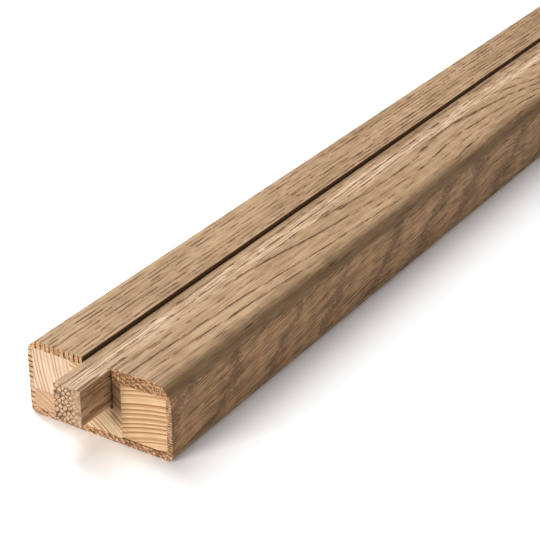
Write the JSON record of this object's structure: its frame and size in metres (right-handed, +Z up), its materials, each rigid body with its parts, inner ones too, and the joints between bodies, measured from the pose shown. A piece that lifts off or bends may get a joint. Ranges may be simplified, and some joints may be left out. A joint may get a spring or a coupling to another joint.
{
  "type": "threshold strip",
  "caption": "Oak-faced laminated threshold bar with a softwood core, rounded long corners and a groove along its top that holds a loose oak strip.",
  "frame": {"origin": "on the ground plane under the middle of the whole object, the drawn-out end of the loose strip included", "axes": "+Z up, +Y along the bar from the end where the loose strip sticks out, +X from the narrow left shoulder to the wide round-cornered side"},
  "size_m": [0.08, 0.921, 0.039],
  "materials": {
    "oak_facing": "clear matt oil",
    "oak_strip": "clear matt oil",
    "pale_softwood": "sawn",
    "pink_softwood": "sawn"
  },
  "bodies": {
    "bar": {"left_side_lamella": "oak_facing", "left_top_lamella": "oak_facing", "right_cap_lamella": "oak_facing", "right_side_lamella": "oak_facing", "base_lamella": "oak_facing", "left_upper_core_stick": "pale_softwood", "left_lower_core_stick": "pink_softwood", "grooved_core_stick": "pink_softwood", "right_core_stick": "pale_softwood"},
    "strip": {"loose_strip": "oak_strip"}
  },
  "joints": [
    {"name": "strip_slide", "type": "slide", "parent": "bar", "child": "strip", "axis": [0, -1, 0], "range_m": [-0.021, 0.419]}
  ]
}
